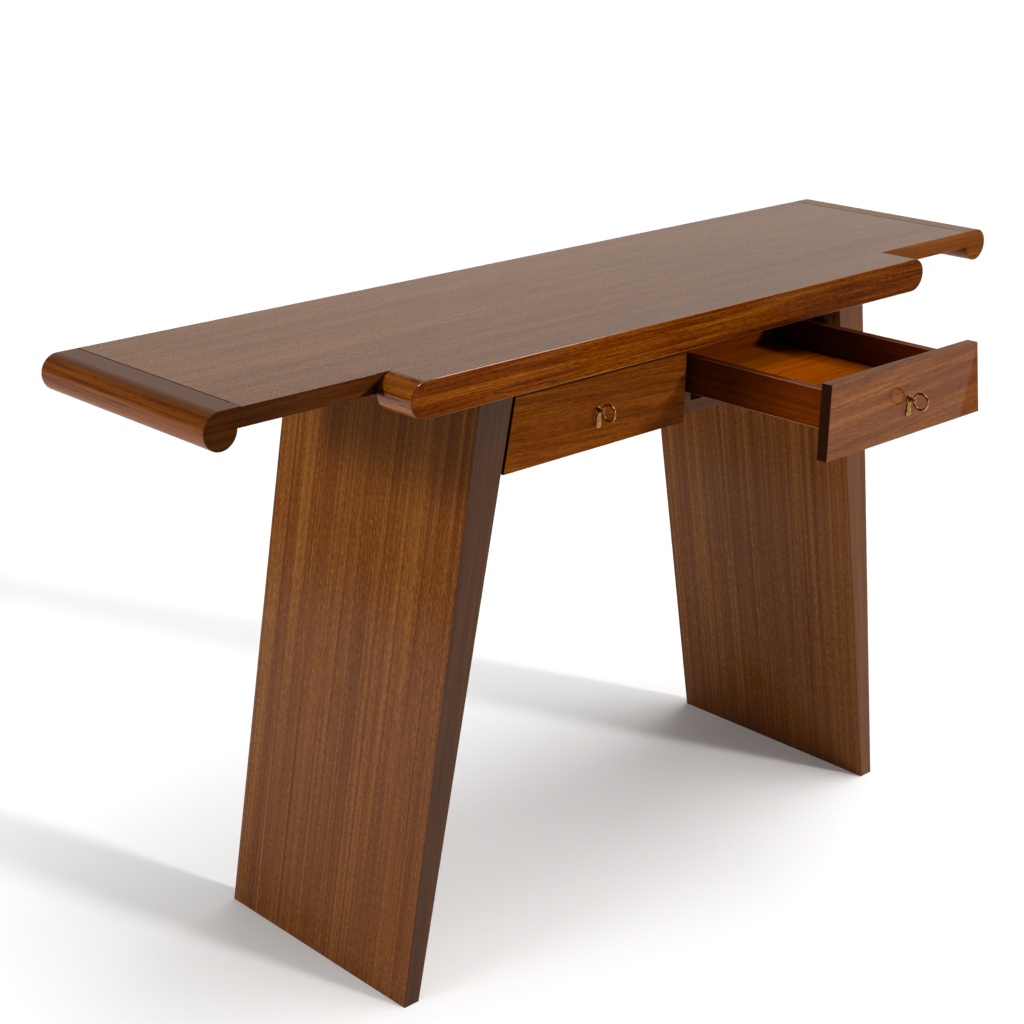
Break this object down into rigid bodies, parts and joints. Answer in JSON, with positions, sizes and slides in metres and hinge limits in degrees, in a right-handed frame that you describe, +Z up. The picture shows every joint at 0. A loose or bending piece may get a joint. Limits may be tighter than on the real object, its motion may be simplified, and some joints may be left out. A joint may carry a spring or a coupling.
{
  "type": "console table",
  "caption": "Narrow console table with a rolled-end top, a thick front beam, splayed slab legs that taper down, and locking drawers with ring-bow keys.",
  "frame": {"origin": "On the floor, under the middle of the whole object's box as it stands, with the right-hand drawer pulled open", "axes": "+X along the table to the right seen from the front, +Y from the front to the back, +Z up"},
  "size_m": [1.508, 0.6456, 0.85],
  "materials": {
    "top_veneer": "gloss lacquer",
    "beam_wood": "gloss lacquer",
    "ribbon_veneer": "gloss lacquer",
    "front_veneer": "gloss lacquer",
    "edge_wood": "satin lacquer",
    "case_wood": "satin",
    "drawer_wood": "satin",
    "dowel_wood": "bare",
    "brass": "polished",
    "lock_steel": "plain"
  },
  "bodies": {
    "table": {"case_back": "case_wood", "case_bottom": "case_wood", "case_dowels": "dowel_wood", "centre_divider": "case_wood", "front_beam": "beam_wood", "left_drawer_guide": "case_wood", "left_drawer_kickers": "case_wood", "left_drawer_runners": "case_wood", "left_end_moulding": "beam_wood", "left_leg_back_lipping": "edge_wood", "left_leg_front_lipping": "edge_wood", "left_leg_panel": "ribbon_veneer", "left_strike_plate": "brass", "leg_dowels": "dowel_wood", "right_drawer_guide": "case_wood", "right_drawer_kickers": "case_wood", "right_drawer_runners": "case_wood", "right_end_moulding": "beam_wood", "right_leg_back_lipping": "edge_wood", "right_leg_front_lipping": "edge_wood", "right_leg_panel": "ribbon_veneer", "right_strike_plate": "brass", "top_board": "top_veneer", "top_dowels": "dowel_wood"},
    "left_drawer": {"left_drawer_front": "front_veneer", "left_drawer_inner_side": "drawer_wood", "left_drawer_outer_side": "drawer_wood", "left_drawer_back": "drawer_wood", "left_drawer_bottom": "drawer_wood", "left_lock_case": "lock_steel", "left_lock_cap": "lock_steel", "left_keyhole_plate": "brass"},
    "left_key": {"left_key": "brass"},
    "left_bolt": {"left_lock_bolt": "lock_steel"},
    "right_drawer": {"right_drawer_front": "front_veneer", "right_drawer_inner_side": "drawer_wood", "right_drawer_outer_side": "drawer_wood", "right_drawer_back": "drawer_wood", "right_drawer_bottom": "drawer_wood", "right_lock_case": "lock_steel", "right_lock_cap": "lock_steel", "right_keyhole_plate": "brass"},
    "right_key": {"right_key": "brass"},
    "right_bolt": {"right_lock_bolt": "lock_steel"}
  },
  "joints": [
    {"name": "left_drawer_slide", "type": "slide", "parent": "table", "child": "left_drawer", "axis": [0, -1, 0], "range_m": [0, 0.26]},
    {"name": "left_key_turn", "type": "hinge", "parent": "left_drawer", "child": "left_key", "pos_m": [-0.16902, -0.05665, 0.74825], "axis": [0, 1, 0], "range_deg": [0, 180]},
    {"name": "left_bolt_lift", "type": "slide", "parent": "left_drawer", "child": "left_bolt", "axis": [0, 0, 1], "range_m": [0, 0.0095]},
    {"name": "right_drawer_slide", "type": "slide", "parent": "table", "child": "right_drawer", "axis": [0, -1, 0], "range_m": [-0.2355, 0.0245]},
    {"name": "right_key_turn", "type": "hinge", "parent": "right_drawer", "child": "right_key", "pos_m": [0.16902, -0.29215, 0.74825], "axis": [0, 1, 0], "range_deg": [0, 180]},
    {"name": "right_bolt_lift", "type": "slide", "parent": "right_drawer", "child": "right_bolt", "axis": [0, 0, 1], "range_m": [0, 0.0095]}
  ],
  "couplings": [
    {"joint": "left_key_turn", "follows": "left_bolt_lift", "rad_per_m": 330.69},
    {"joint": "right_key_turn", "follows": "right_bolt_lift", "rad_per_m": 330.69}
  ]
}
